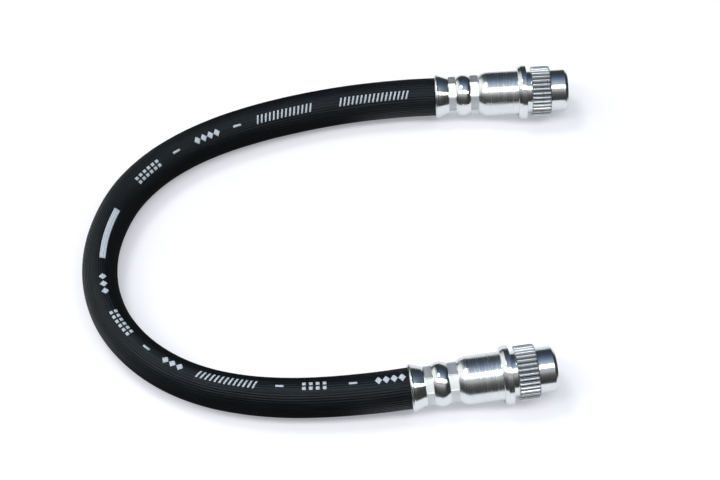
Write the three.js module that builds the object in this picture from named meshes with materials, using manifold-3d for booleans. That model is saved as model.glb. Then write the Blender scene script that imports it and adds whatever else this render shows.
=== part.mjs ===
// Brake hose: a braided rubber hose with a crimped female end fitting at each end,
// lying on a flat surface in an open loop. Millimetres, +Z up.
// The origin is the middle of the two fittings' footprint, on that surface.

import * as THREE from 'three';
import { mergeVertices } from 'three/addons/utils/BufferGeometryUtils.js';
import Module from 'manifold-3d';

const wasm = await Module();
wasm.setup();

// Hose section, from the bore outwards
const boreDiameter = 3.2;
const hoseDiameter = 10.5;
const linerWall = 1.0;
const braidWall = 0.5;
const middleWall = 0.4;
const plyGap = 0.1;
const hoseSides = 12;
const freeSteps = 20;

// Insert, the tube inside each end of the hose
const insertStretch = 0.25;
const insertWall = 0.65;
const insertGrip = 5;
const insertNose = 0.3;
const insertSides = 16;

// Clearances
const mouthClearance = 0.1;
const hoseClearance = 0.12;
const endClearance = 0.3;
const restClearance = 0.01;

// End fitting, lengths along its axis from the mouth that the hose enters
const flareLength = 3.8;
const neckLength = 2;
const lobeLength = 4;
const secondNeckLength = 2.3;
const shoulderLength = 3.6;
const barrelLength = 7.4;
const flangeThickness = 2.35;
const grooveLength = 1.4;
const splineLength = 5.2;
const tipLength = 4.8;

// End fitting, walls, diameters and depths
const shellWall = 0.85;
const neckPress = 1.28;
const lobePress = 0.5;
const secondNeckPress = 1.17;
const dieRidge = 0.25;
const barrelDiameter = 12.25;
const flangeDiameter = 15;
const flangeEdge = 0.2;
const flangeChamferLength = 1;
const flangeChamferDepth = 0.5;
const grooveDiameter = 11.5;
const splineDiameter = 13.8;
const splineDepth = 0.5;
const splineCount = 34;
const splineLeadIn = 0.4;
const splineRunOut = 0.9;
const splineTopShare = 0.2;
const splineRootShare = 0.36;
const tipDiameter = 11.6;
const tipEdge = 0.8;
const portDiameter = 8.9;
const portDepth = 10;
const portEdge = 0.3;
const drillPointAngle = 118;
const fittingSides = 24;
const dieCount = 8;

// Where the fittings lie: the middle of each mouth, and the turn of each axis about +Z
const farMouth = [-13.64, 44.5];
const farTurn = 1.6;
const nearMouth = [-22.16, -46.5];
const nearTurn = 7.3;
const straightRun = 8;

// Route of the free hose on the surface, from the far fitting to the near one
const freeRoute = [
  [-34.2, 43.0],
  [-44.4, 41.2],
  [-54.4, 38.7],
  [-64.3, 35.5],
  [-73.8, 31.5],
  [-82.7, 26.4],
  [-90.7, 19.9],
  [-97.1, 11.8],
  [-101.1, 2.4],
  [-102.8, -7.8],
  [-101.7, -18.0],
  [-97.8, -27.5],
  [-91.2, -35.6],
  [-82.9, -41.7],
  [-73.4, -45.8],
  [-63.3, -48.0],
  [-53.0, -48.8],
  [-42.7, -48.6],
];

// How much narrower the bend makes the hose, as [distance from the far mouth, share of its width] points.
// Its height grows by a part of that share.
const ovalShares = [
  [0, 0],
  [40, 0],
  [55, 0.03],
  [70, 0.085],
  [85, 0.11],
  [110, 0.128],
  [145, 0.13],
  [160, 0.12],
  [175, 0.1],
  [186, 0.066],
  [197, 0.045],
  [217, 0],
];
const ovalHeightening = 0.6;

// Radii that follow from the sizes above
const boreRadius = boreDiameter / 2;
const hoseRadius = hoseDiameter / 2;
const insertRadius = boreRadius + insertStretch;
const passageRadius = insertRadius - insertWall;
const flatOf = (sides) => Math.cos(Math.PI / sides);
const grippedBore = (insertRadius + hoseClearance) / flatOf(hoseSides);
const mouthRadius = (hoseRadius + mouthClearance) / flatOf(fittingSides) + shellWall;
const neckRadius = mouthRadius - neckPress;
const lobeRadius = mouthRadius - lobePress;
const secondNeckRadius = mouthRadius - secondNeckPress;
const barrelRadius = barrelDiameter / 2;
const flangeRadius = flangeDiameter / 2;
const grooveRadius = grooveDiameter / 2;
const splineRadius = splineDiameter / 2;
const tipRadius = tipDiameter / 2;
const portRadius = portDiameter / 2;

// Stations along the fitting
const neckStart = flareLength;
const lobeStart = neckStart + neckLength;
const secondNeckStart = lobeStart + lobeLength;
const shoulderStart = secondNeckStart + secondNeckLength;
const pocketEnd = shoulderStart + shoulderLength / 3;
const shoulderMiddle = shoulderStart + (shoulderLength * 2) / 3;
const barrelStart = shoulderStart + shoulderLength;
const flangeStart = barrelStart + barrelLength;
const grooveStart = flangeStart + flangeThickness;
const splineStart = grooveStart + grooveLength;
const tipStart = splineStart + splineLength;
const fittingEnd = tipStart + tipLength;
const insertEnd = pocketEnd + insertGrip;

// How a fitting rests: on the edge of its mouth and on the rim of its flange
const restTilt = Math.atan((flangeRadius - mouthRadius) / (flangeStart + flangeChamferLength));
const mouthHeight = mouthRadius * Math.cos(restTilt);

const rubber = new THREE.MeshStandardMaterial({ color: 0x17191c, roughness: 0.55, metalness: 0 });
const linerRubber = new THREE.MeshStandardMaterial({ color: 0x232426, roughness: 0.7, metalness: 0 });
const braidYarn = new THREE.MeshStandardMaterial({ color: 0xd9d3c0, roughness: 0.85, metalness: 0 });
const zincPlate = new THREE.MeshStandardMaterial({ color: 0xc4c9ce, roughness: 0.22, metalness: 1 });
const insertSteel = new THREE.MeshStandardMaterial({ color: 0xaeb2b5, roughness: 0.35, metalness: 1 });

// Outside radius of the crimped shell at a distance from the mouth
function shellRadius(distance) {
  if (distance <= neckStart) {
    const share = distance / flareLength;
    return neckRadius + (mouthRadius - neckRadius) * Math.cos(0.5 * Math.PI * share);
  }
  if (distance <= lobeStart) {
    return neckRadius;
  }
  if (distance <= secondNeckStart) {
    const share = (distance - lobeStart) / lobeLength;
    const base = THREE.MathUtils.lerp(neckRadius, secondNeckRadius, share);
    return base + (lobeRadius - base) * Math.sin(Math.PI * share);
  }
  if (distance <= shoulderStart) {
    return secondNeckRadius;
  }
  const share = Math.min(1, (distance - shoulderStart) / shoulderLength);
  return secondNeckRadius + (barrelRadius - secondNeckRadius) * Math.sin(0.5 * Math.PI * share);
}

const shellStations = [
  0,
  flareLength / 3,
  (flareLength * 2) / 3,
  neckStart,
  lobeStart,
  lobeStart + lobeLength / 4,
  lobeStart + lobeLength / 2,
  lobeStart + (lobeLength * 3) / 4,
  secondNeckStart,
  shoulderStart,
  pocketEnd,
];

// Radius of the pocket that the hose sits in
function pocketRadius(distance) {
  return shellRadius(distance) - shellWall;
}

// Turned body of the fitting, as a closed profile of [radius, distance] points
function bodyProfile() {
  const outside = shellStations.map((distance) => [shellRadius(distance), distance]);
  outside.push([shellRadius(shoulderMiddle), shoulderMiddle]);
  outside.push([barrelRadius, barrelStart]);
  outside.push([barrelRadius, flangeStart]);
  outside.push([flangeRadius - flangeChamferDepth, flangeStart]);
  outside.push([flangeRadius, flangeStart + flangeChamferLength]);
  outside.push([flangeRadius, grooveStart - flangeEdge]);
  outside.push([flangeRadius - flangeEdge, grooveStart]);
  outside.push([grooveRadius, grooveStart]);
  outside.push([grooveRadius, splineStart + splineLength / 2]);
  outside.push([tipRadius, splineStart + splineLength / 2]);
  outside.push([tipRadius, fittingEnd - tipEdge]);
  outside.push([tipRadius - tipEdge, fittingEnd]);
  const drillPoint = (portRadius - passageRadius) / Math.tan(THREE.MathUtils.degToRad(drillPointAngle / 2));
  const insertHole = (insertRadius + hoseClearance) / flatOf(fittingSides);
  const inside = [
    [portRadius + portEdge, fittingEnd],
    [portRadius, fittingEnd - portEdge],
    [portRadius, fittingEnd - portDepth],
    [passageRadius, fittingEnd - portDepth - drillPoint],
    [passageRadius, insertEnd + endClearance],
    [insertHole, insertEnd + endClearance],
    [insertHole, pocketEnd],
  ];
  const pocket = shellStations.map((distance) => [pocketRadius(distance), distance]).reverse();
  return [...outside, ...inside, ...pocket];
}

// Closed solid of revolution about +X, from [radius, distance] points
function turned(profile, sides) {
  const points = [...profile, profile[0]].map(([radius, distance]) => new THREE.Vector2(radius, distance));
  const geometry = new THREE.LatheGeometry(points, sides);
  geometry.rotateZ(-Math.PI / 2);
  return geometry;
}

// The crimping dies leave a narrow ridge between each two presses on both necks
function raiseDieRidges(geometry) {
  const near = (a, b) => Math.abs(a - b) < 0.01;
  const neckEdges = [neckStart, lobeStart, secondNeckStart, shoulderStart];
  const place = geometry.attributes.position;
  for (let i = 0; i < place.count; i += 1) {
    const onNeck = neckEdges.some((edge) => near(place.getX(i), edge));
    const radius = Math.hypot(place.getY(i), place.getZ(i));
    const outside = near(radius, shellRadius(place.getX(i)));
    const turn = (Math.atan2(place.getZ(i), place.getY(i)) * dieCount) / (2 * Math.PI);
    if (onNeck && outside && near(turn, Math.round(turn))) {
      place.setY(i, (place.getY(i) * (radius + dieRidge)) / radius);
      place.setZ(i, (place.getZ(i) * (radius + dieRidge)) / radius);
    }
  }
}

// Ring of straight splines about +X, with its tooth ends sloped
function splineRing() {
  const pitch = (2 * Math.PI) / splineCount;
  const rootRadius = splineRadius - splineDepth;
  const innerRadius = (portRadius + Math.min(grooveRadius, tipRadius)) / 2;
  const tooth = [
    [rootRadius, -splineRootShare],
    [splineRadius, -splineTopShare],
    [splineRadius, splineTopShare],
    [rootRadius, splineRootShare],
  ];
  const outline = [];
  for (let i = 0; i < splineCount; i += 1) {
    for (const [radius, share] of tooth) {
      const angle = (i + share) * pitch;
      outline.push(new THREE.Vector2(radius * Math.cos(angle), radius * Math.sin(angle)));
    }
  }
  const shape = new THREE.Shape(outline);
  shape.holes.push(new THREE.Path(circlePoints(innerRadius, fittingSides).reverse()));
  const teeth = new THREE.ExtrudeGeometry(shape, { depth: splineLength, bevelEnabled: false });
  teeth.rotateY(Math.PI / 2);
  teeth.translate(splineStart, 0, 0);
  const over = splineRadius + splineDepth;
  const envelope = turned([
    [0, splineStart],
    [rootRadius, splineStart],
    [splineRadius, splineStart + splineLeadIn],
    [over, splineStart + splineLeadIn],
    [over, tipStart - splineRunOut],
    [splineRadius, tipStart - splineRunOut],
    [rootRadius, tipStart],
    [0, tipStart],
  ], 2 * splineCount);
  return solid(teeth).intersect(solid(envelope));
}

function circlePoints(radius, sides) {
  const points = [];
  for (let i = 0; i < sides; i += 1) {
    const angle = (i * 2 * Math.PI) / sides;
    points.push(new THREE.Vector2(radius * Math.cos(angle), radius * Math.sin(angle)));
  }
  return points;
}

// three.js geometry to a manifold solid
function solid(geometry) {
  const bare = geometry.clone();
  bare.deleteAttribute('normal');
  bare.deleteAttribute('uv');
  const merged = mergeVertices(bare, 1e-4);
  return new wasm.Manifold(new wasm.Mesh({
    numProp: 3,
    vertProperties: merged.attributes.position.array,
    triVerts: merged.index.array,
  }));
}

// Manifold solid back to a three.js geometry
function geometryOf(body) {
  const mesh = body.getMesh();
  const geometry = new THREE.BufferGeometry();
  geometry.setAttribute('position', new THREE.BufferAttribute(mesh.vertProperties, 3));
  geometry.setIndex(new THREE.BufferAttribute(mesh.triVerts, 1));
  geometry.computeVertexNormals();
  return geometry;
}

function fittingGeometry() {
  const body = turned(bodyProfile(), fittingSides);
  raiseDieRidges(body);
  return geometryOf(solid(body).add(splineRing()));
}

function insertGeometry() {
  const start = (flareLength * 2) / 3 + insertNose;
  return turned([
    [insertRadius - insertNose, start],
    [insertRadius, start + insertNose],
    [insertRadius, insertEnd],
    [passageRadius, insertEnd],
    [passageRadius, start],
  ], insertSides);
}

// Point on a fitting's axis at a distance from its mouth
function axisPoint([x, y], turn, distance) {
  const yaw = THREE.MathUtils.degToRad(turn);
  const run = distance * Math.cos(restTilt);
  const height = mouthHeight + distance * Math.sin(restTilt);
  return new THREE.Vector3(x + run * Math.cos(yaw), y + run * Math.sin(yaw), height);
}

// Height of the hose's axis: it leaves the fitting on its slope and settles on the surface
function hoseHeight(x, y) {
  const settled = hoseRadius + restClearance;
  const rise = mouthHeight - settled;
  const settleRun = (2 * rise) / Math.tan(restTilt);
  const away = Math.min(...[farMouth, nearMouth].map((mouth) => Math.hypot(x - mouth[0], y - mouth[1])));
  return settled + rise * Math.max(0, 1 - away / settleRun) ** 2;
}

const hoseEnd = pocketEnd - endClearance;
const routePoints = [
  axisPoint(farMouth, farTurn, hoseEnd),
  axisPoint(farMouth, farTurn, 0),
  axisPoint(farMouth, farTurn, -straightRun),
  ...freeRoute.map(([x, y]) => new THREE.Vector3(x, y, hoseHeight(x, y))),
  axisPoint(nearMouth, nearTurn, -straightRun),
  axisPoint(nearMouth, nearTurn, 0),
  axisPoint(nearMouth, nearTurn, hoseEnd),
];
const route = new THREE.CatmullRomCurve3(routePoints, false, 'centripetal');
route.arcLengthDivisions = 100 * routePoints.length;
const routeLength = route.getLength();

// Share by which the hose is narrowed at a distance along its route
function ovalShare(along) {
  const distance = along - hoseEnd;
  const after = ovalShares.findIndex(([place]) => place > distance);
  if (after < 1) {
    return 0;
  }
  const [[start, before], [end, next]] = [ovalShares[after - 1], ovalShares[after]];
  return THREE.MathUtils.lerp(before, next, (distance - start) / (end - start));
}

// Rings of the hose: close together where the shell grips it, and even along the free hose
const gripDistances = [
  hoseEnd,
  shoulderStart,
  secondNeckStart,
  lobeStart + lobeLength / 2,
  lobeStart,
  neckStart,
  (flareLength * 2) / 3,
];
const rings = gripDistances.map((distance) => ({ along: hoseEnd - distance, depth: distance }));
const freeLength = routeLength - 2 * hoseEnd;
for (let i = 0; i <= freeSteps; i += 1) {
  rings.push({ along: hoseEnd + (freeLength * i) / freeSteps, depth: 0 });
}
for (const distance of [...gripDistances].reverse()) {
  rings.push({ along: routeLength - hoseEnd + distance, depth: distance });
}

// The route, sampled at the rings
class RingCurve extends THREE.Curve {
  getPoint(t, target = new THREE.Vector3()) {
    const place = t * (rings.length - 1);
    const before = Math.min(Math.floor(place), rings.length - 2);
    const along = THREE.MathUtils.lerp(rings[before].along, rings[before + 1].along, place - before);
    target.copy(route.getPointAt(THREE.MathUtils.clamp(along / routeLength, 0, 1)));
    target.z += hoseRadius * ovalHeightening * ovalShare(along);
    return target;
  }

  getUtoTmapping(u) {
    return u;
  }
}

// A radius in the free hose becomes this one where the shell squeezes the hose on the insert
function squeezed(radius, depth) {
  if (depth === 0) {
    return radius;
  }
  const outer = pocketRadius(depth) * flatOf(fittingSides) - hoseClearance;
  return grippedBore + ((radius - boreRadius) * (outer - grippedBore)) / (hoseRadius - boreRadius);
}

// One ply of the hose between two radii
function plyGeometry(innerRadius, outerRadius) {
  const shape = new THREE.Shape(circlePoints(outerRadius, hoseSides));
  shape.holes.push(new THREE.Path(circlePoints(innerRadius, hoseSides).reverse()));
  const curve = new RingCurve();
  const steps = rings.length - 1;
  const geometry = new THREE.ExtrudeGeometry(shape, { steps, extrudePath: curve, bevelEnabled: false });
  const centres = curve.getSpacedPoints(steps);
  const place = geometry.attributes.position;
  const corner = new THREE.Vector3();
  for (let i = 0; i < place.count; i += 1) {
    corner.fromBufferAttribute(place, i);
    let nearest = 0;
    for (let j = 1; j < centres.length; j += 1) {
      if (corner.distanceToSquared(centres[j]) < corner.distanceToSquared(centres[nearest])) {
        nearest = j;
      }
    }
    corner.sub(centres[nearest]);
    corner.setLength(squeezed(corner.length(), rings[nearest].depth));
    const narrowing = ovalShare(rings[nearest].along);
    corner.x *= 1 - narrowing;
    corner.y *= 1 - narrowing;
    corner.z *= 1 + ovalHeightening * narrowing;
    corner.add(centres[nearest]);
    place.setXYZ(i, corner.x, corner.y, corner.z);
  }
  geometry.computeVertexNormals();
  return geometry;
}

const object = new THREE.Group();

function addPiece(parent, name, geometry, material) {
  const mesh = new THREE.Mesh(geometry, material);
  mesh.name = name;
  parent.add(mesh);
}

// The plies, each one outside the last
let plyRadius = boreRadius;
for (const [name, wall, material] of [
  ['hose_liner', linerWall, linerRubber],
  ['inner_braid', braidWall, braidYarn],
  ['middle_rubber', middleWall, linerRubber],
  ['outer_braid', braidWall, braidYarn],
]) {
  addPiece(object, name, plyGeometry(plyRadius, plyRadius + wall), material);
  plyRadius += wall + plyGap;
}
addPiece(object, 'hose_cover', plyGeometry(plyRadius, hoseRadius), rubber);

// The fittings and their inserts
for (const [side, mouth, turn] of [['far', farMouth, farTurn], ['near', nearMouth, nearTurn]]) {
  const turnedGroup = new THREE.Group();
  turnedGroup.position.set(mouth[0], mouth[1], mouthHeight);
  turnedGroup.rotation.z = THREE.MathUtils.degToRad(turn);
  const tilted = new THREE.Group();
  tilted.rotation.y = -restTilt;
  turnedGroup.add(tilted);
  addPiece(tilted, `${side}_fitting`, fittingGeometry(), zincPlate);
  addPiece(tilted, `${side}_insert`, insertGeometry(), insertSteel);
  object.add(turnedGroup);
}

export default object;
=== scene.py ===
"""Brake hose: the looks of a braided rubber hose with a crimped, zinc plated fitting at each end.

Sizes here are in millimetres and become metres where a mesh is made, and only the floor, the lamps
and the room are in metres. +Z is up, and the surface that the hose lies on is at z = 0. Each fitting
is made along its own +X, from the mouth that the hose enters to the open port, and then laid in
its place.
"""

import math

import bpy
import numpy as np
from mathutils import Matrix


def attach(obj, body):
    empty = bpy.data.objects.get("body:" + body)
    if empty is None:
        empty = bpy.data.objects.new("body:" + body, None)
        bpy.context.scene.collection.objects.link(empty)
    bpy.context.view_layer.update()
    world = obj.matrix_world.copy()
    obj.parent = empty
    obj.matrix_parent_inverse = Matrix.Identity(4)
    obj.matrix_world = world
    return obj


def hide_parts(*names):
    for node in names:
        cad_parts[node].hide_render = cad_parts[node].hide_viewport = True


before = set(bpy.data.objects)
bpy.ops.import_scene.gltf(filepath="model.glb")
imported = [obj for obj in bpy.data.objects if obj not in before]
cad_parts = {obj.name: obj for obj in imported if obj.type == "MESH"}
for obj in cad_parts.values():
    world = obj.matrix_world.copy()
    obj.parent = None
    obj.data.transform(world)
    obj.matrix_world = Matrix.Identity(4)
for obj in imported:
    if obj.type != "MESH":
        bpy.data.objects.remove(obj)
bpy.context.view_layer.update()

MM = 0.001

# Camera
photo_width_px = 720
camera_focal_px = 1610
camera_sensor = 36
camera_place = (-34.61, -228.4, 367.3)
camera_tilt = 32
camera_nearest = 10

# Hose section, from the bore outwards
bore_radius = 1.6
hose_radius = 5.25
ply_walls = {"hose_liner": 1.0, "inner_braid": 0.5, "middle_rubber": 0.4, "outer_braid": 0.5}
ply_gap = 0.1
rib_count = 48
rib_depth = 0.1
rib_fade = 1.5
columns_per_rib = 5
cover_ring_step = 1.0
inner_ring_step = 2.0
ply_columns = 64

# Insert tube inside each end
insert_radius = 1.85
passage_radius = 1.2
insert_start = 2.4
insert_nose = 0.3
insert_grip = 5
insert_columns = 64

# Clearances
mouth_clearance = 0.1
hose_clearance = 0.12
end_clearance = 0.3
rest_clearance = 0.01

# Sides of the solids' hose and fittings, whose flats keep these clearances from the round pieces
hose_facets = 12
fitting_facets = 24

# Fitting, lengths along its axis
flare_length = 3.8
neck_length = 2.0
lobe_length = 4.0
second_neck_length = 2.3
shoulder_length = 3.6
barrel_length = 7.4
flange_thickness = 2.35
groove_length = 1.4
spline_length = 5.2
tip_length = 4.8

# How straight the flare is, how full the lobe and the shoulder are, and how soft the corners are
flare_straightness = 0.7
lobe_fullness = 0.78
shoulder_fullness = 0.78
shoulder_steepness = 2.2
press_softness = 0.1

# Crimping dies: flat faces on both necks, with a ridge between each two
die_count = 8
die_flatness = 0.85
die_ridge = 0.07
die_ridge_width = 0.16
die_depth = 0.06
die_edge = 0.3

# How much rougher than the rest of the metal the pressed necks, the barrel and the splines are
die_roughness = 0.38
barrel_roughness = 0.08
spline_roughness = 0.16

# Fitting, walls, radii and depths
lip_depth = 0.45
lip_length = 0.5
lip_end = 0.85
shell_wall = 0.85
neck_press = 1.28
lobe_press = 0.5
second_neck_press = 1.17
barrel_radius = 6.125
flange_radius = 7.5
flange_edge = 0.2
flange_chamfer_length = 1.0
flange_chamfer_depth = 0.5
groove_radius = 5.75
spline_radius = 6.9
spline_depth = 0.5
spline_count = 34
spline_lead_in = 0.4
spline_run_out = 0.9
tooth_crest_share = 0.06
tooth_root_share = 0.4
tip_radius = 5.8
tip_edge = 0.8
port_radius = 4.45
port_depth = 10
port_edge = 0.3
thread_radius = 5.0
thread_pitch = 1.0
thread_length = 7.5
drill_point_angle = 118

# Fillets of the fitting and of its insert
lip_back_fillet = 0.1
lip_fillet = 0.4
barrel_fillet = 0.12
flange_back_fillet = 0.1
flange_rim_fillet = 0.2
groove_fillet = 0.15
tip_fillet = 0.3
tip_face_fillet = 0.2
port_fillet = 0.08
port_bottom_fillet = 0.2
pocket_fillet = 0.1
passage_fillet = 0.1
bore_fillet = 0.05
insert_nose_fillet = 0.08
insert_fillet = 0.15

# Rows of the fitting's skin
first_shell_row = 0.9
shell_row_step = 0.3
press_margin = 0.2
rows_at_press = 7
lead_in_rows = 5
spline_middle_rows = 7
run_out_rows = 8
thread_rows_per_turn = 7
pocket_corner = 0.4
pocket_first_row = 1.0
pocket_last_row = 0.3
pocket_row_step = 0.8
mouth_edge = 0.15

# Where the fittings lie: the middle of each mouth, and the turn of each axis about +Z
far_mouth = (-13.64, 44.5)
far_turn = 1.6
far_die_turn = -3
near_mouth = (-22.16, -46.5)
near_turn = 7.3
near_die_turn = 5
straight_run = 8

# Route of the free hose on the surface, from the far fitting to the near one
free_route = [
    (-34.2, 43.0),
    (-44.4, 41.2),
    (-54.4, 38.7),
    (-64.3, 35.5),
    (-73.8, 31.5),
    (-82.7, 26.4),
    (-90.7, 19.9),
    (-97.1, 11.8),
    (-101.1, 2.4),
    (-102.8, -7.8),
    (-101.7, -18.0),
    (-97.8, -27.5),
    (-91.2, -35.6),
    (-82.9, -41.7),
    (-73.4, -45.8),
    (-63.3, -48.0),
    (-53.0, -48.8),
    (-42.7, -48.6),
]

# The bend makes the hose narrower and taller: the share lost from its width, at distances along it
oval_along = [0, 40, 55, 70, 85, 110, 145, 160, 175, 186, 197, 217]
oval_share = [0, 0, 0.03, 0.085, 0.11, 0.128, 0.13, 0.12, 0.1, 0.066, 0.045, 0]
oval_heightening = 0.6

# Turn of the ribs and the print line from the top of the hose, at distances along the free hose
twist_along = [0, 60, 95, 115, 135, 160, 217]
twist_angle = [26, 25, 25, 19, 8, 5, 9]

# Print: kind, start and end of each group of marks, along the free hose from the far fitting
print_groups = [
    ("slanted", 7.3, 27.4),
    ("slanted", 34.9, 51.3),
    ("dash", 55.7, 58.0),
    ("diamonds", 62.0, 69.9),
    ("dash", 74.6, 76.8),
    ("squares", 81.6, 90.8),
    ("bar", 100.9, 117.1),
    ("diamonds", 121.9, 128.8),
    ("squares", 133.9, 143.0),
    ("dash", 147.3, 149.5),
    ("diamonds", 153.5, 159.8),
    ("slanted", 163.3, 178.9),
    ("dash", 183.5, 185.6),
    ("squares", 190.2, 197.1),
    ("dash", 201.9, 204.0),
    ("diamonds", 208.4, 216.4),
]
mark_height = 2.4
mark_lift = 0.03
strip_heights = {"bar": 1.85, "dash": 0.65}
slant_lean = 0.75
slant_width = 0.5
diamond_reach = 0.95
square_side = 0.95
mark_pitches = {"slanted": 1.15, "diamonds": 1.95, "squares": 1.5}

# Rows and columns of the grid that follows the ribs under each kind of mark
mark_grids = {"bar": (20, 12), "dash": (4, 6), "slanted": (2, 16), "diamonds": (9, 9), "squares": (3, 8)}

# Inner and outer radius of each ply, and the bore of the cover around them
ply_radii = {}
next_radius = bore_radius
for node, wall in ply_walls.items():
    ply_radii[node] = (next_radius, next_radius + wall)
    next_radius += wall + ply_gap
cover_bore_radius = next_radius
cover_columns = columns_per_rib * rib_count

# Radii and stations of the fitting
mouth_radius = (hose_radius + mouth_clearance) / math.cos(math.pi / fitting_facets) + shell_wall
neck_radius = mouth_radius - neck_press
lobe_radius = mouth_radius - lobe_press
second_neck_radius = mouth_radius - second_neck_press
neck_start = flare_length
lobe_start = neck_start + neck_length
second_neck_start = lobe_start + lobe_length
shoulder_start = second_neck_start + second_neck_length
pocket_end = shoulder_start + shoulder_length / 3
barrel_start = shoulder_start + shoulder_length
flange_start = barrel_start + barrel_length
groove_start = flange_start + flange_thickness
spline_start = groove_start + groove_length
tip_start = spline_start + spline_length
fitting_end = tip_start + tip_length
insert_end = pocket_end + insert_grip
hose_end = pocket_end - end_clearance
rest_tilt = math.atan((flange_radius - mouth_radius) / (flange_start + flange_chamfer_length))
mouth_height = mouth_radius * math.cos(rest_tilt)


# Camera at the photograph's viewing angle
camera_data = bpy.data.cameras.new("photo_camera")
camera_data.sensor_fit = "HORIZONTAL"
camera_data.sensor_width = camera_sensor
camera_data.lens = camera_focal_px * camera_sensor / photo_width_px
camera_data.clip_start = camera_nearest * MM
camera = bpy.data.objects.new("photo_camera", camera_data)
camera.location = [value * MM for value in camera_place]
camera.rotation_euler = (math.radians(camera_tilt), 0, 0)
bpy.context.scene.collection.objects.link(camera)
bpy.context.scene.camera = camera
bpy.context.scene.view_settings.view_transform = "Standard"


# Shader nodes
def add_node(tree, kind, values=None, **settings):
    """A new node, with the values of its inputs by name or number and its settings."""
    node = tree.nodes.new(kind)
    for name, value in settings.items():
        setattr(node, name, value)
    for name, value in (values or {}).items():
        node.inputs[name].default_value = value
    return node


def join(tree, output, *inputs):
    """Links from one output to one or more inputs."""
    for socket in inputs:
        tree.links.new(output, socket)


def combine(tree, operation, *values):
    """The output of a math node whose inputs are numbers or the outputs of other nodes."""
    node = add_node(tree, "ShaderNodeMath", operation=operation)
    for socket, value in zip(node.inputs, values):
        if isinstance(value, (int, float)):
            socket.default_value = value
        else:
            join(tree, value, socket)
    return node.outputs[0]


def new_group(name, inputs, outputs):
    """A node group with number sockets, named with their values; returns it with its two ends."""
    tree = bpy.data.node_groups.new(name, "ShaderNodeTree")
    for label, value in inputs.items():
        socket = tree.interface.new_socket(name=label, in_out="INPUT", socket_type="NodeSocketFloat")
        socket.default_value = value
    for label in outputs:
        tree.interface.new_socket(name=label, in_out="OUTPUT", socket_type="NodeSocketFloat")
    return tree, tree.nodes.new("NodeGroupInput"), tree.nodes.new("NodeGroupOutput")


def use_group(tree, group, values):
    """A node that holds the group, with the values of its inputs by name."""
    node = tree.nodes.new("ShaderNodeGroup")
    node.node_tree = group
    for name, value in values.items():
        node.inputs[name].default_value = value
    return node


def new_material(name, plain):
    """A material and its Principled shader, with the values that are the same all over."""
    material = bpy.data.materials.new(name)
    material.use_nodes = True
    shader = material.node_tree.nodes["Principled BSDF"]
    for socket, value in plain.items():
        shader.inputs[socket].default_value = value
    return material, material.node_tree, shader


def make_grain_group():
    """Noise on the straightened piece, drawn out along it or around it."""
    tree, start, end = new_group(
        "drawn out grain", {"Along": 1.0, "Around": 1.0, "Detail": 3.0}, ["Grain"]
    )
    place = add_node(tree, "ShaderNodeAttribute", attribute_name="straight_place")
    parts = add_node(tree, "ShaderNodeSeparateXYZ")
    join(tree, place.outputs["Vector"], parts.inputs[0])
    whole = add_node(tree, "ShaderNodeCombineXYZ")
    for axis, scale in (("X", "Along"), ("Y", "Around"), ("Z", "Around")):
        scaled = combine(tree, "MULTIPLY", parts.outputs[axis], start.outputs[scale])
        join(tree, scaled, whole.inputs[axis])
    noise = add_node(tree, "ShaderNodeTexNoise", {"Scale": 1.0, "Roughness": 0.6})
    join(tree, whole.outputs[0], noise.inputs["Vector"])
    join(tree, start.outputs["Detail"], noise.inputs["Detail"])
    spread = add_node(tree, "ShaderNodeMapRange", {"From Min": 0.3, "From Max": 0.7})
    join(tree, noise.outputs[0], spread.inputs["Value"])
    join(tree, spread.outputs[0], end.inputs["Grain"])
    return tree


grain_group = make_grain_group()


def mixed_color(tree, factor, first, second):
    """A mix of two colours, each given as numbers or as the output of a node."""
    mix = add_node(tree, "ShaderNodeMix", data_type="RGBA")
    colors = [socket for socket in mix.inputs if socket.type == "RGBA"]
    for socket, color in zip(colors, (first, second)):
        if isinstance(color, tuple):
            socket.default_value = (*color, 1)
        else:
            join(tree, color, socket)
    join(tree, factor, mix.inputs["Factor"])
    return [socket for socket in mix.outputs if socket.type == "RGBA"][0]


def spread_value(tree, value, low, high):
    """A value from 0 to 1 taken to the range from low to high."""
    spread = add_node(tree, "ShaderNodeMapRange", {"To Min": low, "To Max": high})
    join(tree, value, spread.inputs["Value"])
    return spread.outputs[0]


def add_bump(tree, shader, height, depth_mm):
    """Fine relief of a surface: the output of a node times a depth in millimetres."""
    bump = add_node(tree, "ShaderNodeBump", {"Strength": 1.0, "Distance": depth_mm * MM})
    join(tree, height, bump.inputs["Height"])
    join(tree, bump.outputs[0], shader.inputs["Normal"])


def make_cover_rubber():
    """Black extruded rubber: fine lengthwise drag marks, paler on the rib tops, a satin sheen."""
    pore_share = 0.4
    material, tree, shader = new_material(
        "ribbed black rubber",
        {"Metallic": 0.0, "Specular IOR Level": 0.25, "Specular Tint": (0.8, 0.93, 1.0, 1)},
    )
    drag = use_group(tree, grain_group, {"Along": 0.12, "Around": 2.6, "Detail": 4.0})
    streaks = use_group(tree, grain_group, {"Along": 0.02, "Around": 1.3, "Detail": 3.0})
    pores = use_group(tree, grain_group, {"Along": 3.0, "Around": 6.0, "Detail": 3.0})
    rib = add_node(tree, "ShaderNodeAttribute", attribute_name="relief")
    shade = combine(tree, "MULTIPLY", drag.outputs[0], rib.outputs["Fac"])
    color = mixed_color(tree, shade, (0.002, 0.0025, 0.0033), (0.007, 0.0085, 0.0108))
    join(tree, color, shader.inputs["Base Color"])
    join(tree, spread_value(tree, streaks.outputs[0], 0.3, 0.55), shader.inputs["Roughness"])
    height = combine(tree, "MULTIPLY_ADD", pores.outputs[0], pore_share, drag.outputs[0])
    add_bump(tree, shader, height, depth_mm=0.035)
    return material


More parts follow.
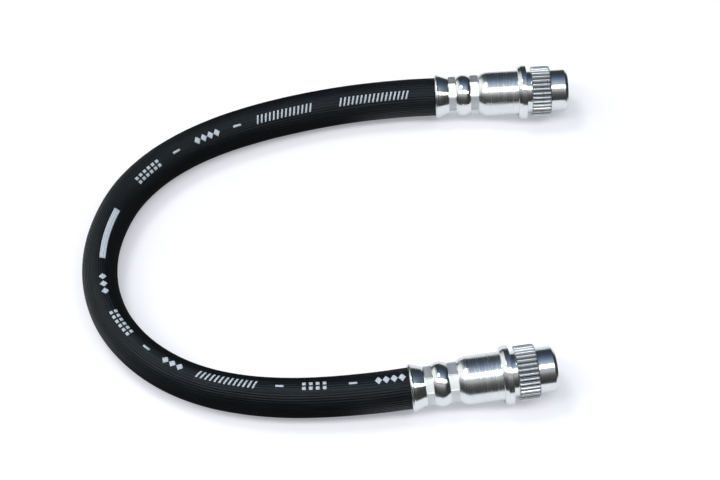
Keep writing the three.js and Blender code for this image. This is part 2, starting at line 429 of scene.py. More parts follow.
def make_inner_rubber():
    """Plain matt rubber of the liner and of the layer between the braids."""
    material, tree, shader = new_material(
        "matt black rubber", {"Metallic": 0.0, "Specular IOR Level": 0.35}
    )
    cloud = use_group(tree, grain_group, {"Along": 0.3, "Around": 0.8, "Detail": 3.0})
    color = mixed_color(tree, cloud.outputs[0], (0.012, 0.012, 0.013), (0.024, 0.024, 0.025))
    join(tree, color, shader.inputs["Base Color"])
    join(tree, spread_value(tree, cloud.outputs[0], 0.6, 0.78), shader.inputs["Roughness"])
    add_bump(tree, shader, cloud.outputs[0], depth_mm=0.01)
    return material


def make_braid_yarn():
    """Off-white yarn, braided: two families of strands wind opposite ways, over and under."""
    carriers = 12
    radians_per_mm = 1.1
    material, tree, shader = new_material("braided yarn", {"Metallic": 0.0, "Sheen Weight": 0.15})
    place = add_node(tree, "ShaderNodeAttribute", attribute_name="straight_place")
    parts = add_node(tree, "ShaderNodeSeparateXYZ")
    join(tree, place.outputs["Vector"], parts.inputs[0])
    angle = combine(tree, "ARCTAN2", parts.outputs["Y"], parts.outputs["Z"])
    waves = []
    for direction in (1, -1):
        wound = combine(tree, "MULTIPLY", angle, carriers / 2 * direction)
        run = combine(tree, "MULTIPLY_ADD", parts.outputs["X"], radians_per_mm, wound)
        waves.append(combine(tree, "SINE", run))
    raised = combine(tree, "ABSOLUTE", combine(tree, "MULTIPLY", *waves))
    fibre = use_group(tree, grain_group, {"Along": 4.0, "Around": 4.0, "Detail": 3.0})
    # Painted shade: the yarn is darker where the strands dip between each other
    color = mixed_color(tree, raised, (0.34, 0.31, 0.24), (0.74, 0.7, 0.6))
    join(tree, color, shader.inputs["Base Color"])
    join(tree, spread_value(tree, fibre.outputs[0], 0.75, 0.95), shader.inputs["Roughness"])
    add_bump(tree, shader, raised, depth_mm=0.12)
    return material


def make_turned_group():
    """Marks that a lathe tool leaves: close lines around the axis, and painted shade in the hollows.

    Low and High are the least and the greatest roughness of the clean metal.
    """
    hollow_shade_power = 1.3
    tree, start, end = new_group(
        "turning marks", {"Low": 0.1, "High": 0.2}, ["Lines", "Roughness", "Cloud", "Painted Shade"]
    )
    fine = use_group(tree, grain_group, {"Along": 5.0, "Around": 0.16, "Detail": 2.0})
    broad = use_group(tree, grain_group, {"Along": 2.8, "Around": 0.07, "Detail": 4.0})
    cloud = use_group(tree, grain_group, {"Along": 0.25, "Around": 0.3, "Detail": 3.0})
    both = combine(tree, "MULTIPLY", fine.outputs[0], broad.outputs[0])
    spread = add_node(tree, "ShaderNodeMapRange", {"From Max": 0.6})
    join(tree, both, spread.inputs["Value"])
    join(tree, start.outputs["Low"], spread.inputs["To Min"])
    join(tree, start.outputs["High"], spread.inputs["To Max"])
    pressed = add_node(tree, "ShaderNodeAttribute", attribute_name="dullness")
    duller = combine(tree, "ADD", pressed.outputs["Fac"], spread.outputs[0])
    hollow = add_node(tree, "ShaderNodeAttribute", attribute_name="relief")
    # Painted shade: the deeper a hollow between the spline teeth, the more of the dark colour there
    painted_hollow_shade = combine(tree, "POWER", hollow.outputs["Fac"], hollow_shade_power)
    join(tree, fine.outputs[0], end.inputs["Lines"])
    join(tree, duller, end.inputs["Roughness"])
    join(tree, cloud.outputs[0], end.inputs["Cloud"])
    join(tree, painted_hollow_shade, end.inputs["Painted Shade"])
    return tree


turned_group = make_turned_group()


def make_metal(name, cloud_colors, hollow_shade_color, low, high, line_depth):
    """Turned metal: two colours in soft clouds, a dark one painted into the hollows as shade, and the
    tool's marks.
    """
    material, tree, shader = new_material(name, {"Metallic": 1.0})
    marks = use_group(tree, turned_group, {"Low": low, "High": high})
    clean = mixed_color(tree, marks.outputs["Cloud"], *cloud_colors)
    # The hollows are painted darker as shade
    color = mixed_color(tree, marks.outputs["Painted Shade"], clean, hollow_shade_color)
    join(tree, color, shader.inputs["Base Color"])
    join(tree, marks.outputs["Roughness"], shader.inputs["Roughness"])
    add_bump(tree, shader, marks.outputs["Lines"], line_depth)
    return material


def make_print_ink():
    """Pale blue-grey ink, paler and darker in worn patches of grain."""
    material, tree, shader = new_material("print ink", {"Metallic": 0.0})
    worn = use_group(tree, grain_group, {"Along": 2.0, "Around": 3.5, "Detail": 4.0})
    color = mixed_color(tree, worn.outputs[0], (0.4, 0.47, 0.53), (0.64, 0.71, 0.78))
    join(tree, color, shader.inputs["Base Color"])
    join(tree, spread_value(tree, worn.outputs[0], 0.5, 0.7), shader.inputs["Roughness"])
    add_bump(tree, shader, worn.outputs[0], depth_mm=0.006)
    return material


cover_rubber = make_cover_rubber()
inner_rubber = make_inner_rubber()
braid_yarn = make_braid_yarn()
zinc_plate = make_metal(
    "bright zinc plate",
    cloud_colors=((0.72, 0.76, 0.77), (0.79, 0.83, 0.84)),
    # The hollow colour is painted shade in the grooves between the spline teeth
    hollow_shade_color=(0.085, 0.1, 0.115),
    low=0.1,
    high=0.21,
    line_depth=0.004,
)
insert_steel = make_metal(
    "drawn steel tube",
    cloud_colors=((0.56, 0.57, 0.58), (0.66, 0.67, 0.68)),
    hollow_shade_color=(0.4, 0.4, 0.4),
    low=0.25,
    high=0.45,
    line_depth=0.006,
)
print_ink = make_print_ink()


# Meshes
def ring_faces(rows, columns):
    """Quads of a closed skin whose rows are rings, with the last row joined to the first."""
    row = np.arange(rows)[:, None]
    column = np.arange(columns)[None, :]
    next_row = (row + 1) % rows
    next_column = (column + 1) % columns
    corners = [
        row * columns + column,
        next_row * columns + column,
        next_row * columns + next_column,
        row * columns + next_column,
    ]
    return np.stack(corners, axis=-1).reshape(-1, 4)


def make_piece(name, points, faces, material, straight, slot, **shares):
    """A smooth mesh from points in millimetres, with its straightened places for the materials.

    The shares are further attributes. Relief is the height of the ribs on rubber and the depth of
    the hollows on metal, from 0 to 1. Dullness is added to the roughness of metal.
    """
    mesh = bpy.data.meshes.new(name)
    mesh.from_pydata((points.reshape(-1, 3) * MM).tolist(), [], faces.tolist())
    mesh.shade_smooth()
    places = mesh.attributes.new("straight_place", "FLOAT_VECTOR", "POINT")
    places.data.foreach_set("vector", straight.reshape(-1).astype(np.float32))
    for label, values in shares.items():
        attribute = mesh.attributes.new(label, "FLOAT", "POINT")
        attribute.data.foreach_set("value", values.reshape(-1).astype(np.float32))
    mesh.materials.append(material)
    piece = bpy.data.objects.new(name, mesh)
    bpy.context.scene.collection.objects.link(piece)
    return piece


def smooth_step(share):
    """A share from 0 to 1 with a soft start and a soft end."""
    return share * share * (3 - 2 * share)


# Crimped shell of the fitting
def shell_radius(distance):
    """Outside radius of the crimped shell at distances from the mouth."""
    distance = np.asarray(distance, float)
    flare = neck_radius + neck_press * np.cos(0.5 * np.pi * distance / flare_length)
    share = (distance - lobe_start) / lobe_length
    base = neck_radius + (second_neck_radius - neck_radius) * share
    lobe = base + (lobe_radius - base) * np.sin(np.pi * share)
    rise = np.clip((distance - shoulder_start) / shoulder_length, 0, 1)
    shoulder = second_neck_radius + (barrel_radius - second_neck_radius) * np.sin(0.5 * np.pi * rise)
    return np.select(
        [
            distance <= neck_start,
            distance <= lobe_start,
            distance <= second_neck_start,
            distance <= shoulder_start,
        ],
        [flare, np.full_like(distance, neck_radius), lobe, np.full_like(distance, second_neck_radius)],
        shoulder,
    )


def full_shell_radius(distance):
    """The shell's radius, with a straighter flare, and a lobe and shoulder that swell more steeply."""
    distance = np.asarray(distance, float)
    opened = np.clip(distance / flare_length, 0, 1)
    flare = neck_press * flare_straightness * (1 - opened - np.cos(0.5 * np.pi * opened))
    share = np.clip((distance - lobe_start) / lobe_length, 0, 1)
    sine = np.sin(np.pi * share)
    lobe = (lobe_radius - neck_radius) * (np.maximum(sine, 0) ** lobe_fullness - sine)
    rise = np.clip((distance - shoulder_start) / shoulder_length, 0, 1)
    steep = 1 - (1 - np.clip(rise / shoulder_fullness, 0, 1)) ** shoulder_steepness
    shoulder = (barrel_radius - second_neck_radius) * (steep - np.sin(0.5 * np.pi * rise))
    return shell_radius(distance) + flare + lobe + shoulder


def soft_shell_radius(distance):
    """The full shell's radius with the corners between its presses rounded."""
    samples = 11
    offsets = np.linspace(-press_softness, press_softness, samples)
    around = np.clip(np.asarray(distance, float)[..., None] + offsets, 0, None)
    return full_shell_radius(around).mean(axis=-1)


def gripped_radius(radius, depth):
    """A radius in the free hose becomes this one at a depth inside the shell."""
    outer = (shell_radius(depth) - shell_wall) * math.cos(math.pi / fitting_facets) - hose_clearance
    outer = np.minimum(hose_radius, outer)
    share = np.clip(depth / insert_start, 0, 1)
    gripped_bore = (insert_radius + hose_clearance) / math.cos(math.pi / hose_facets)
    bore = bore_radius + (gripped_bore - bore_radius) * smooth_step(share)
    squeezed = bore + (radius - bore_radius) * (outer - bore) / (hose_radius - bore_radius)
    return np.where(depth > 0, squeezed, radius)


# Route of the hose
def axis_point(mouth, turn, distance):
    """Point on a fitting's axis at a distance from its mouth."""
    yaw = math.radians(turn)
    run = distance * math.cos(rest_tilt)
    height = mouth_height + distance * math.sin(rest_tilt)
    return (mouth[0] + run * math.cos(yaw), mouth[1] + run * math.sin(yaw), height)


def hose_height(x, y):
    """The hose leaves each fitting on its slope and settles on the surface."""
    settled = hose_radius + rest_clearance
    rise = mouth_height - settled
    settle_run = 2 * rise / math.tan(rest_tilt)
    away = min(math.hypot(x - mouth[0], y - mouth[1]) for mouth in (far_mouth, near_mouth))
    return settled + rise * max(0, 1 - away / settle_run) ** 2


def smooth_route(points, steps_per_span=60):
    """Centripetal Catmull-Rom curve through the points."""
    knots = np.array(points, float)
    ends = np.vstack([2 * knots[0] - knots[1], knots, 2 * knots[-1] - knots[-2]])
    share = np.linspace(0, 1, steps_per_span, endpoint=False)[:, None]
    line = []
    for before, start, end, after in zip(ends, ends[1:], ends[2:], ends[3:]):
        gaps = [np.sum((b - a) ** 2) ** 0.25 for a, b in ((before, start), (start, end), (end, after))]
        leave = (start - before) / gaps[0] - (end - before) / (gaps[0] + gaps[1]) + (end - start) / gaps[1]
        arrive = (end - start) / gaps[1] - (after - start) / (gaps[1] + gaps[2]) + (after - end) / gaps[2]
        leave, arrive = leave * gaps[1], arrive * gaps[1]
        square = 3 * (end - start) - 2 * leave - arrive
        cube = 2 * (start - end) + leave + arrive
        line.append(start + leave * share + square * share**2 + cube * share**3)
    return np.vstack([*line, knots[-1:]])


route = smooth_route([
    axis_point(far_mouth, far_turn, hose_end),
    axis_point(far_mouth, far_turn, 0),
    axis_point(far_mouth, far_turn, -straight_run),
    *[(x, y, hose_height(x, y)) for x, y in free_route],
    axis_point(near_mouth, near_turn, -straight_run),
    axis_point(near_mouth, near_turn, 0),
    axis_point(near_mouth, near_turn, hose_end),
])
route_along = np.concatenate([[0], np.cumsum(np.linalg.norm(np.diff(route, axis=0), axis=1))])
hose_length = route_along[-1]
route_ahead = np.gradient(route, axis=0)


def hose_frame(along):
    """Middle of the hose, and its up and side directions scaled by its oval, at distances along it."""
    middle = np.stack([np.interp(along, route_along, route[:, axis]) for axis in range(3)], axis=-1)
    ahead = np.stack([np.interp(along, route_along, route_ahead[:, axis]) for axis in range(3)], axis=-1)
    ahead /= np.linalg.norm(ahead, axis=-1, keepdims=True)
    side = np.cross((0, 0, 1), ahead)
    side /= np.linalg.norm(side, axis=-1, keepdims=True)
    up = np.cross(ahead, side)
    narrowing = np.interp(along - hose_end, oval_along, oval_share)[..., None]
    middle[..., 2:] += hose_radius * oval_heightening * narrowing
    return middle, up * (1 + oval_heightening * narrowing), side * (1 - narrowing)


def hose_depth(along):
    """How deep inside the nearer fitting a place along the hose is; 0 outside them."""
    return np.maximum(0, np.maximum(hose_end - along, along - (hose_length - hose_end)))


def hose_twist(along):
    """Turn of the print line from the top of the hose, in radians."""
    return np.radians(np.interp(along - hose_end, twist_along, twist_angle))


def hose_points(along, radius, angle):
    """Points of the hose from distances along it, radii and angles from its print line."""
    middle, up, side = hose_frame(along)
    turned = angle + hose_twist(along)
    across = np.sin(turned)[..., None] * side + np.cos(turned)[..., None] * up
    return middle + radius[..., None] * across


def cover_radius(along, angle):
    """Outside of the ribbed cover. The ribs are pressed flat where the shell grips the hose."""
    depth = hose_depth(along)
    rib = 0.5 - 0.5 * np.cos(rib_count * angle)
    free_share = np.clip(1 - depth / rib_fade, 0, 1)
    return gripped_radius(hose_radius, depth) - rib_depth * free_share * rib


def ring_distances(step):
    """Distances of the rings along the whole hose, about one step apart."""
    return np.linspace(0, hose_length, int(round(hose_length / step)) + 1)


def tube_piece(name, inner, outer, columns, outer_step, material, slot, ribbed=False):
    """A tube along the hose: its outer skin one way and its bore the other, closed at the ends."""
    forth = ring_distances(outer_step)
    back = ring_distances(inner_ring_step)[::-1]
    along = np.concatenate([forth, back])[:, None] + np.zeros((1, columns))
    angle = np.zeros_like(along) + np.linspace(0, 2 * np.pi, columns, endpoint=False)
    depth = hose_depth(along)
    radius = gripped_radius(inner, depth)
    outside = np.arange(len(along)) < len(forth)
    skin = cover_radius(along, angle) if ribbed else gripped_radius(outer, depth)
    radius[outside] = skin[outside]
    points = hose_points(along, radius, angle)
    straight = np.stack([along, radius * np.sin(angle), radius * np.cos(angle)], axis=-1)
    rib_height = 0.5 + 0.5 * np.cos(rib_count * angle)
    faces = ring_faces(len(along), columns)
    return make_piece(name, points, faces, material, straight, slot, relief=rib_height)


hose_cover = tube_piece(
    "ribbed_hose_cover", cover_bore_radius, hose_radius, cover_columns, cover_ring_step,
    cover_rubber, "cover_rubber", ribbed=True,
)
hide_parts("hose_cover")
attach(hose_cover, "root")

for node, (inner, outer) in ply_radii.items():
    braided = "braid" in node
    ply = tube_piece(
        "fine_" + node, inner, outer, ply_columns, inner_ring_step,
        braid_yarn if braided else inner_rubber, "braid_yarn" if braided else "liner_rubber",
    )
    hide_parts(node)
    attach(ply, "root")


# Print marks
def patch_faces(rows, columns):
    """Quads of a closed thin patch: a top grid, a bottom grid and the wall between them."""
    count = (rows + 1) * (columns + 1)
    place = np.arange(count).reshape(rows + 1, columns + 1)
    top = np.stack([place[:-1, :-1], place[1:, :-1], place[1:, 1:], place[:-1, 1:]], axis=-1).reshape(-1, 4)
    rim = np.concatenate([place[:-1, 0], place[-1, :-1], place[:0:-1, -1], place[0, :0:-1]])
    following = np.roll(rim, -1)
    wall = np.stack([rim, rim + count, following + count, following], axis=-1)
    return np.concatenate([top, top[:, ::-1] + count, wall])


def mark(corners, rows, columns):
    """A thin patch of ink over the ribs, from four corners: distance along, and height across."""
    first, second, third, fourth = np.array(corners, float)
    run = np.linspace(0, 1, rows + 1)[:, None, None]
    rise = np.linspace(0, 1, columns + 1)[None, :, None]
    lower = first + (second - first) * run
    upper = fourth + (third - fourth) * run
    flat = lower + (upper - lower) * rise
    along = flat[..., 0] + hose_end
    angle = flat[..., 1] / hose_radius
    skin = cover_radius(along, angle)
    lifted = [hose_points(along, skin + lift, angle) for lift in (mark_lift, -mark_lift)]
    straight = np.stack([along, skin * np.sin(angle), skin * np.cos(angle)], axis=-1)
    return np.stack(lifted), np.stack([straight, straight]), patch_faces(rows, columns)


def upright_box(start, end, low, high):
    """Corners of a mark whose ends stand square across the hose."""
    return [(start, low), (end, low), (end, high), (start, high)]


def slanted_stroke(left):
    """Corners of a stroke that leans along the hose."""
    half = mark_height / 2
    right = left + slant_width
    return [(left, -half), (right, -half), (right + slant_lean, half), (left + slant_lean, half)]


def diamond(middle):
    """Corners of a diamond around its middle."""
    half = mark_height / 2
    return [(middle - diamond_reach, 0), (middle, -half), (middle + diamond_reach, 0), (middle, half)]


def group_marks(kind, start, end):
    """Corners of each mark in one group of the print."""
    if kind in strip_heights:
        return [upright_box(start, end, -strip_heights[kind] / 2, strip_heights[kind] / 2)]
    pitch = mark_pitches[kind]
    count = int((end - start) / pitch)
    lefts = [start + i * (end - start) / count for i in range(count)]
    if kind == "slanted":
        return [slanted_stroke(left) for left in lefts]
    if kind == "diamonds":
        return [diamond(left + pitch / 2) for left in lefts]
    lows = (-mark_height / 2, mark_height / 2 - square_side)
    return [upright_box(left, left + square_side, low, low + square_side) for left in lefts for low in lows]


mark_points, mark_straight, mark_faces = [], [], []
mark_count = 0
for kind, start, end in print_groups:
    for corners in group_marks(kind, start, end):
        points, straight, faces = mark(corners, *mark_grids[kind])
        mark_points.append(points.reshape(-1, 3))
        mark_straight.append(straight.reshape(-1, 3))
        mark_faces.append(faces + mark_count)
        mark_count += len(mark_points[-1])
print_marks = make_piece(
    "print_marks", np.concatenate(mark_points), np.concatenate(mark_faces), print_ink,
    np.concatenate(mark_straight), "cover_rubber",
)
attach(print_marks, "root")

(hose_frame(ring_distances(cover_ring_step))[0] * MM).tolist()


# Fittings
def rounded_profile(corners, step=0.5):
    """Closely spaced [distance, radius] points along [distance, radius, fillet] corners."""
    longest_share = 0.45
    fillet_step = 22
    straight_turn = 0.01
    line = [np.array(corners[0][:2], float)]
    for before, corner, after in zip(corners, corners[1:], corners[2:]):
        here = np.array(corner[:2], float)
        arrive = here - np.array(before[:2])
        leave = np.array(after[:2]) - here
        reach = min(np.linalg.norm(arrive), np.linalg.norm(leave)) * longest_share
        arrive /= np.linalg.norm(arrive)
        leave /= np.linalg.norm(leave)
        turn = math.acos(np.clip(arrive @ leave, -1, 1))
        if corner[2] == 0 or turn < straight_turn:
            line.append(here)
            continue
        tangent = min(corner[2] * math.tan(turn / 2), reach)
        pieces = max(2, round(math.degrees(turn) / fillet_step))
        start, end = here - arrive * tangent, here + leave * tangent
        for i in range(pieces + 1):
            share = i / pieces
            line.append((1 - share) ** 2 * start + 2 * share * (1 - share) * here + share**2 * end)
    line.append(np.array(corners[-1][:2], float))
    points = [line[0]]
    for start, end in zip(line, line[1:]):
        count = max(1, math.ceil(np.linalg.norm(end - start) / step))
        for i in range(1, count + 1):
            points.append(start + (end - start) * i / count)
    return np.array(points)


def tooth_angles():
    """Angles of the columns: closest together on the flanks of the spline teeth."""
    shares = np.array([-0.5, -0.4, -0.3, -0.22, -0.13, 0, 0.13, 0.22, 0.3, 0.4])
    teeth = np.arange(spline_count)[:, None]
    return ((teeth + shares[None, :]) * 2 * np.pi / spline_count).reshape(-1)


def tooth_radius(angle):
    """A tooth with a rounded crest on the flanks of the plain one."""
    share = np.abs((angle * spline_count / (2 * np.pi) + 0.5) % 1 - 0.5)
    drop = np.clip((share - tooth_crest_share) / (tooth_root_share - tooth_crest_share), 0, 1)
    return spline_radius - spline_depth * smooth_step(drop)


def die_press(distance):
    """1 where the crimping dies press the two necks, and 0 away from them."""
    pressed = np.zeros_like(distance)
    for start, end in ((neck_start, lobe_start), (second_neck_start, shoulder_start)):
        inside = np.minimum(distance - start, end - distance)
        pressed = np.maximum(pressed, np.clip(0.5 + inside / die_edge, 0, 1))
    return smooth_step(pressed)


def die_marks(distance, angle):
    """What the crimping dies leave on the necks: flattened faces with a ridge between each two."""
    die_angle = 2 * np.pi / die_count
    from_ridge = np.abs((angle / die_angle + 0.5) % 1 - 0.5) * die_angle
    face = neck_radius * die_flatness * (1 / np.cos(die_angle / 2 - from_ridge) - 1)
    ridge = die_ridge * np.exp(-((from_ridge * neck_radius / die_ridge_width) ** 2))
    return die_press(distance) * (face + ridge - die_depth)


def thread_cut(distance, angle):
    """Depth of the port's right-handed thread, running out before the bottom of the port."""
    sharp_depth = 1.25
    flank_slope = 3
    phase = (distance / thread_pitch + angle / (2 * np.pi)) % 1
    groove = np.clip(sharp_depth - flank_slope * np.abs(phase - 0.5), 0, 1)
    last = fitting_end - port_edge - thread_length
    fade = np.clip((distance - last) / thread_pitch, 0, 1)
    return (thread_radius - port_radius) * groove * fade


def plain_rows(points):
    """Rows with no teeth, thread or marks of the dies, from [distance, radius] points."""
    return [(distance, radius, "plain") for distance, radius in points]


def shell_rows():
    """The lip of the mouth, and the crimped shell up to the barrel."""
    lip = rounded_profile([
        (0, mouth_radius - shell_wall, 0),
        (0, mouth_radius - lip_depth, lip_back_fillet),
        (lip_length, mouth_radius, lip_fillet),
        (lip_end, float(soft_shell_radius(lip_end)), 0),
    ])
    shell = np.arange(first_shell_row, barrel_start, shell_row_step)
    for edge in (neck_start, lobe_start, second_neck_start, shoulder_start):
        shell = np.concatenate([shell, edge + np.linspace(-press_margin, press_margin, rows_at_press)])
    shell = np.unique(shell.round(2))
    return plain_rows(lip[1:]) + [(x, float(soft_shell_radius(x)), "shell") for x in shell]


def collar_rows():
    """The end of the barrel, the flange and the groove."""
    return plain_rows(rounded_profile([
        (barrel_start, barrel_radius, 0),
        (flange_start, barrel_radius, barrel_fillet),
        (flange_start, flange_radius - flange_chamfer_depth, flange_back_fillet),
        (flange_start + flange_chamfer_length, flange_radius, flange_rim_fillet),
        (groove_start, flange_radius, flange_edge),
        (groove_start, groove_radius, groove_fillet),
        (spline_start, groove_radius, groove_fillet),
        (spline_start, spline_radius - spline_depth, 0),
    ]))


def spline_rows():
    """The splines, with a short round lead-in and a longer run-out towards the tip."""
    rows = []
    for share in np.linspace(0, 1, lead_in_rows + 1)[1:]:
        turn = share * math.pi / 2
        height = math.sin(turn)
        place = spline_start + spline_lead_in * (1 - math.cos(turn))
        rows.append((place, spline_radius - spline_depth * (1 - height), "spline"))
    run_out_start = tip_start - spline_run_out
    for place in np.linspace(spline_start + spline_lead_in, run_out_start, spline_middle_rows + 1)[1:]:
        rows.append((place, spline_radius, "spline"))
    for share in np.linspace(0, 1, run_out_rows + 1)[1:]:
        drop = 1 - math.sqrt(1 - share**2)
        place = run_out_start + spline_run_out * share
        rows.append((place, spline_radius - spline_depth * drop, "spline"))
    return rows


def tip_rows():
    """The plain tip and the edge of its port."""
    tip = rounded_profile([
        (tip_start, spline_radius - spline_depth, 0),
        (tip_start, tip_radius, groove_fillet),
        (fitting_end - tip_edge, tip_radius, tip_fillet),
        (fitting_end, tip_radius - tip_edge, tip_face_fillet),
        (fitting_end, port_radius + port_edge, port_fillet),
        (fitting_end - port_edge, port_radius, 0),
    ])
    return plain_rows(tip[1:])


def thread_rows():
    """The threaded stretch of the port, from its edge inwards."""
    count = int(thread_length / thread_pitch * thread_rows_per_turn)
    depths = [(i + 1) * thread_pitch / thread_rows_per_turn for i in range(count)]
    return [(fitting_end - port_edge - depth, port_radius, "thread") for depth in depths]


def bore_rows(thread_end):
    """The bottom of the port, the passage, the hole of the insert and the end of the pocket."""
    drill_point = (port_radius - passage_radius) / math.tan(math.radians(drill_point_angle / 2))
    port_bottom = fitting_end - port_depth
    corner = pocket_end - pocket_corner
    bore = rounded_profile([
        (thread_end, port_radius, 0),
        (port_bottom, port_radius, port_bottom_fillet),
        (port_bottom - drill_point, passage_radius, passage_fillet),
        (insert_end + end_clearance, passage_radius, bore_fillet),
        (insert_end + end_clearance, insert_radius + hose_clearance, bore_fillet),
        (pocket_end, insert_radius + hose_clearance, bore_fillet),
        (pocket_end, float(shell_radius(pocket_end)) - shell_wall, pocket_fillet),
        (corner, float(shell_radius(corner)) - shell_wall, 0),
    ], step=1.5)
    return plain_rows(bore[1:])


def pocket_rows():
    """The pocket that holds the hose, back to the mouth."""
    places = np.arange(pocket_end - pocket_first_row, pocket_last_row, -pocket_row_step)
    pocket = [(x, float(soft_shell_radius(x)) - shell_wall) for x in places]
    mouth = [(mouth_edge, mouth_radius - shell_wall), (0, mouth_radius - shell_wall + mouth_edge)]
    return plain_rows(pocket + mouth)


def fitting_rows():
    """Rows of the fitting's skin as [distance, radius, kind]: outside, then back along the inside."""
    thread = thread_rows()
    outside = shell_rows() + collar_rows() + spline_rows() + tip_rows()
    return outside + thread + bore_rows(thread[-1][0]) + pocket_rows()


def lathe_piece(name, rows, angles, material, slot, die_turn=0.0):
    """A turned piece from its rows, with the marks of the dies, the teeth and the thread cut in."""
    across = np.zeros((1, len(angles)))
    distance = np.array([row[0] for row in rows], float)[:, None] + across
    radius = np.array([row[1] for row in rows], float)[:, None] + across
    kind = np.array([row[2] for row in rows])[:, None]
    angle = np.zeros_like(distance) + angles
    from_die = angle + math.radians(die_turn)
    radius = np.where(kind == "shell", radius + die_marks(distance, from_die), radius)
    radius = np.where(kind == "spline", np.minimum(radius, tooth_radius(angle)), radius)
    # How deep each point lies between the spline teeth; the metal's colour paints these hollows darker as
    # shade
    hollow = np.where(kind == "spline", np.clip((spline_radius - radius) / spline_depth, 0, 1), 0)
    dull = np.where(kind == "shell", die_roughness * die_press(distance), 0)
    dull = np.where((distance > shoulder_start) & (distance < flange_start), barrel_roughness, dull)
    dull = np.where(kind == "spline", spline_roughness, dull)
    radius = np.where(kind == "thread", radius + thread_cut(distance, angle), radius)
    points = np.stack([distance, radius * np.sin(angle), radius * np.cos(angle)], axis=-1)
    faces = ring_faces(len(rows), len(angles))
    return make_piece(name, points, faces, material, points, slot, relief=hollow, dullness=dull)


def insert_rows():
    """The tube that the hose is squeezed against, from its nose round to its bore."""
    start = insert_start
    return plain_rows(rounded_profile([
        (start, passage_radius, 0),
        (start, insert_radius - insert_nose, insert_nose_fillet),
        (start + insert_nose, insert_radius, insert_fillet),
        (insert_end, insert_radius, bore_fillet),
        (insert_end, passage_radius, bore_fillet),
        (start + insert_nose, passage_radius, 0),
    ], step=1.0))


round_angles = np.linspace(0, 2 * np.pi, insert_columns, endpoint=False)
for end_name, mouth, turn, die_turn in (
    ("far", far_mouth, far_turn, far_die_turn),
    ("near", near_mouth, near_turn, near_die_turn),
):
    lie = Matrix.Translation((mouth[0] * MM, mouth[1] * MM, mouth_height * MM))
    lie = lie @ Matrix.Rotation(math.radians(turn), 4, "Z") @ Matrix.Rotation(-rest_tilt, 4, "Y")
    fitting = lathe_piece(
        "turned_" + end_name + "_fitting", fitting_rows(), tooth_angles(), zinc_plate, "zinc_plate",
        die_turn,
    )
    insert = lathe_piece(
        "drawn_" + end_name + "_insert", insert_rows(), round_angles, insert_steel, "insert_steel"
    )
    for piece, node in ((fitting, end_name + "_fitting"), (insert, end_name + "_insert")):
        piece.data.transform(lie)
        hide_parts(node)
        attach(piece, "root")


# Room: its colour by the angle from straight up, from the far horizon at -90 to the near one at 90
room_levels = [
    (-90, (0.05, 0.056, 0.05)),
    (-70, (0.042, 0.048, 0.05)),
    (-54, (0.048, 0.065, 0.095)),
    (-38, (0.085, 0.12, 0.19)),
    (-22, (0.2, 0.26, 0.37)),
    (-8, (0.42, 0.46, 0.52)),
    (36, (0.5, 0.49, 0.5)),
    (48, (0.2, 0.19, 0.188)),
    (60, (0.1, 0.095, 0.095)),
    (78, (0.05, 0.049, 0.052)),
    (90, (0.045, 0.047, 0.055)),
]

# The window and the right-hand wall: where each begins and is whole, as parts of a direction
window_color = (1.15, 1.15, 1.12)
window_to_left = (-0.4, -0.75)
window_to_back = (-0.3, 0.1)
right_wall_color = (0.04, 0.045, 0.04)
right_wall_to_right = (0.45, 0.7)

# Lamps: name, place and size in metres, and power in watts
lamps = [
    ("long soft box", (-0.05, -0.17, 0.7), (1.5, 0.2), 4.3),
    ("far left lamp", (-0.37, 0.27, 0.9), (0.26, 0.26), 2.2),
]

# Floor, in metres
paper_color = (0.76, 0.765, 0.775)
paper_glow = (0.89, 0.89, 0.99)
glow_to_camera = 0.33
glow_in_metal = 0.2
floor_reach = 5.0
floor_drop = 0.00005

# What metal and rubber see of the floor: a sheet that goes over to dark at its edges, along x and
# along y, as its middle, where it is still pale and where it is dark, and a strip of painted shade
# below the loop
sheet_edges = [(-0.05, 0.085, 0.1), (0.0, 0.085, 0.11)]
loop_middle = -0.068
loop_reach = (0.03, 0.042)
painted_loop_shade = 0.95


def ramp_from(tree, value, middle, near, far, ends=(0.0, 1.0)):
    """The first end as far as near from the middle, going over to the second end at far from it."""
    distance = combine(tree, "ABSOLUTE", combine(tree, "ADD", value, -middle))
    limits = {"From Min": near, "From Max": far, "To Min": ends[0], "To Max": ends[1]}
    ramp = add_node(tree, "ShaderNodeMapRange", limits)
    join(tree, distance, ramp.inputs["Value"])
    return ramp.outputs[0]


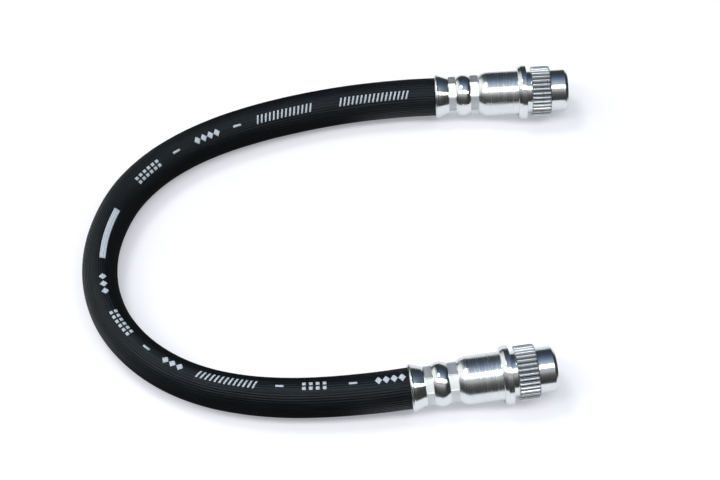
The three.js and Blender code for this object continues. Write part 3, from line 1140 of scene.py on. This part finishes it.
def make_floor():
    """White paper with the object's shadow. Metal and rubber see it as one sheet in a dark room."""
    material, tree, shader = new_material("white paper", {"Roughness": 0.9, "Specular IOR Level": 0.1})
    shader.inputs["Base Color"].default_value = (*paper_color, 1)
    shader.inputs["Emission Color"].default_value = (*paper_glow, 1)
    seen = add_node(tree, "ShaderNodeLightPath")
    reflected = combine(tree, "MULTIPLY", seen.outputs["Is Glossy Ray"], glow_in_metal)
    glow = combine(tree, "MULTIPLY_ADD", seen.outputs["Is Camera Ray"], glow_to_camera, reflected)
    join(tree, glow, shader.inputs["Emission Strength"])
    place = add_node(tree, "ShaderNodeNewGeometry")
    parts = add_node(tree, "ShaderNodeSeparateXYZ")
    join(tree, place.outputs["Position"], parts.inputs[0])
    edges = [ramp_from(tree, parts.outputs[axis], *edge) for axis, edge in zip("XY", sheet_edges)]
    # Painted shade: in reflections the floor inside the loop is a dark strip, standing in for the hose's
    # shadow
    loop_shade_strip = ramp_from(tree, parts.outputs["X"], loop_middle, *loop_reach, (painted_loop_shade, 0.0))
    dimmed = combine(tree, "MAXIMUM", combine(tree, "MAXIMUM", *edges), loop_shade_strip)
    when_reflected = combine(tree, "MULTIPLY", dimmed, seen.outputs["Is Glossy Ray"])
    dark = add_node(tree, "ShaderNodeEmission", {"Color": (*room_levels[0][1], 1)})
    mix = add_node(tree, "ShaderNodeMixShader")
    join(tree, when_reflected, mix.inputs[0])
    join(tree, shader.outputs[0], mix.inputs[1])
    join(tree, dark.outputs[0], mix.inputs[2])
    join(tree, mix.outputs[0], tree.nodes["Material Output"].inputs["Surface"])
    mesh = bpy.data.meshes.new("floor")
    sides = ((-1, -1), (1, -1), (1, 1), (-1, 1))
    corners = [(x * floor_reach, y * floor_reach, -floor_drop) for x, y in sides]
    mesh.from_pydata(corners, [], [(0, 1, 2, 3)])
    mesh.materials.append(material)
    floor = bpy.data.objects.new("floor", mesh)
    bpy.context.scene.collection.objects.link(floor)


def make_lamp(name, place, size, power):
    """A soft box that faces straight down."""
    lamp = bpy.data.lights.new(name, "AREA")
    lamp.shape = "RECTANGLE"
    lamp.size, lamp.size_y = size
    lamp.energy = power
    box = bpy.data.objects.new(name, lamp)
    box.location = place
    bpy.context.scene.collection.objects.link(box)


def make_surroundings():
    """A dim room: paler towards the ceiling, a window on the bend's side and a dark wall opposite."""
    world = bpy.data.worlds.new("dim room")
    world.use_nodes = True
    bpy.context.scene.world = world
    tree = world.node_tree
    back = tree.nodes["Background"]
    where = add_node(tree, "ShaderNodeTexCoord")
    parts = add_node(tree, "ShaderNodeSeparateXYZ")
    join(tree, where.outputs["Generated"], parts.inputs[0])
    nearer = combine(tree, "MULTIPLY", parts.outputs["Y"], -1.0)
    angle = combine(tree, "ARCTAN2", nearer, parts.outputs["Z"])
    share = add_node(tree, "ShaderNodeMapRange", {"From Min": -math.pi / 2, "From Max": math.pi / 2})
    join(tree, angle, share.inputs["Value"])
    ramp = add_node(tree, "ShaderNodeValToRGB")
    stops = ramp.color_ramp.elements
    stops[0].position, stops[0].color = 0.0, (*room_levels[0][1], 1)
    stops[1].position, stops[1].color = 1.0, (*room_levels[-1][1], 1)
    for degrees, color in room_levels[1:-1]:
        stop = stops.new((degrees + 90) / 180)
        stop.color = (*color, 1)
    join(tree, share.outputs[0], ramp.inputs[0])
    soft_steps = []
    for axis, (begins, whole) in (("X", window_to_left), ("Y", window_to_back), ("X", right_wall_to_right)):
        limits = {"From Min": begins, "From Max": whole}
        step = add_node(tree, "ShaderNodeMapRange", limits, interpolation_type="SMOOTHSTEP")
        join(tree, parts.outputs[axis], step.inputs["Value"])
        soft_steps.append(step.outputs[0])
    to_left, to_back, to_right = soft_steps
    window = combine(tree, "MULTIPLY", to_left, to_back)
    color = mixed_color(tree, window, ramp.outputs[0], window_color)
    color = mixed_color(tree, to_right, color, right_wall_color)
    join(tree, color, back.inputs["Color"])


make_floor()
for lamp_name, lamp_place, lamp_size, lamp_power in lamps:
    make_lamp(lamp_name, lamp_place, lamp_size, lamp_power)
make_surroundings()
